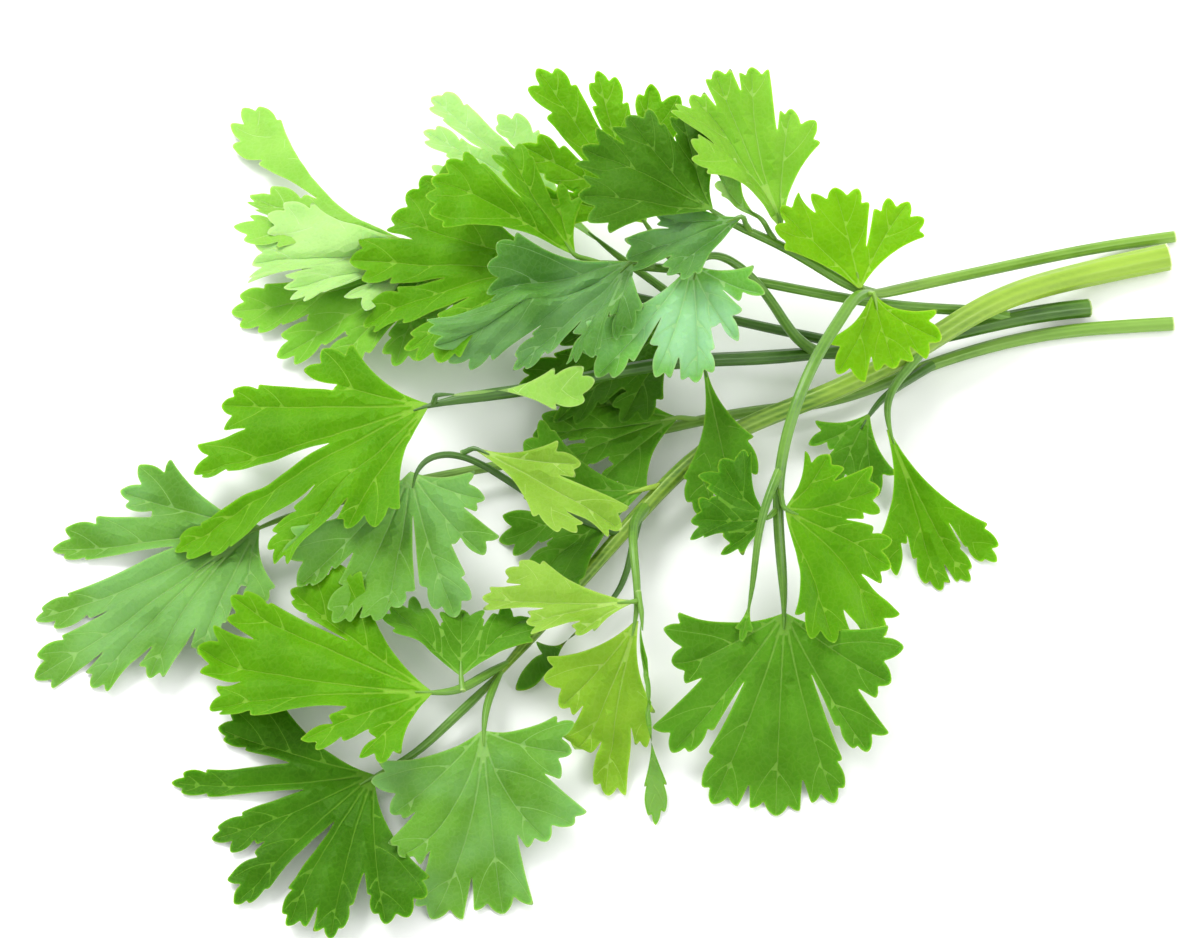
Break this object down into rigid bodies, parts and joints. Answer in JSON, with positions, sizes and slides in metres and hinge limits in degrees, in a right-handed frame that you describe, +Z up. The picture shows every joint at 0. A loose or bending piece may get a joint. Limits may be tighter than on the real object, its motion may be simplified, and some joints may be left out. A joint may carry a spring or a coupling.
{
  "type": "bunch of flat-leaf parsley",
  "caption": "Small cut bunch of flat-leaf parsley lying on its side, leafy stems spread to one end and bare stalks at the other.",
  "frame": {"origin": "centre of the bounding box in plan, on the surface that the bunch lies on", "axes": "+X from the leaf tips towards the cut ends of the stalks, +Z up from the surface"},
  "size_m": [0.2006, 0.1684, 0.0413],
  "materials": {
    "leaf_blue": "satin",
    "leaf_bright": "satin",
    "leaf_dark": "satin",
    "leaf_pale": "satin",
    "stalk_b": "satin",
    "stems": "satin"
  },
  "bodies": {
    "root": {"leaf_a_arch_left": "leaf_dark", "leaf_a_dark": "leaf_dark", "leaf_a_dark_low": "leaf_blue", "leaf_a_edge": "leaf_bright", "leaf_a_end": "leaf_bright", "leaf_a_fold": "leaf_pale", "leaf_a_node": "leaf_bright", "leaf_a_node_front": "leaf_bright", "leaf_a_right": "leaf_bright", "leaf_a_upright": "leaf_bright", "leaf_b_curled": "leaf_pale", "leaf_b_front": "leaf_bright", "leaf_b_front_left": "leaf_bright", "leaf_b_left": "leaf_bright", "leaf_b_left_up": "leaf_dark", "leaf_b_low": "leaf_dark", "leaf_b_right": "leaf_bright", "leaf_b_strip": "leaf_dark", "leaf_b_thin": "leaf_blue", "leaf_b_yellow": "leaf_bright", "leaf_b_yellow_left": "leaf_bright", "leaf_b_yellow_strip": "leaf_bright", "leaf_c_back": "leaf_pale", "leaf_c_big": "leaf_bright", "leaf_c_blue": "leaf_blue", "leaf_c_blue_left": "leaf_blue", "leaf_c_far_front": "leaf_bright", "leaf_c_far_low": "leaf_pale", "leaf_c_far_small": "leaf_pale", "leaf_c_far_up": "leaf_pale", "leaf_c_high": "leaf_bright", "leaf_c_left": "leaf_bright", "leaf_c_left_up": "leaf_bright", "leaf_c_pale": "leaf_pale", "leaf_c_side": "leaf_dark", "leaf_c_under": "leaf_dark", "leaf_d_back": "leaf_dark", "leaf_d_dark": "leaf_dark", "leaf_d_far": "leaf_blue", "stalk_a": "stems", "stalk_b": "stalk_b", "stalk_c": "stems", "stalk_d": "stems", "stem_a_arch": "stems", "stem_a_edge": "stems", "stem_a_upper": "stems", "stem_b_front": "stems", "stem_b_front_left": "stems", "stem_b_left": "stems", "stem_b_right": "stems", "stem_b_strip": "stems", "stem_b_thin": "stems", "stem_b_yellow": "stems", "stem_c_back": "stems", "stem_c_blue": "stems", "stem_c_far": "stems", "stem_c_high": "stems", "stem_c_main": "stems", "stem_c_pale": "stems", "stem_d_back": "stems"}
  },
  "joints": []
}
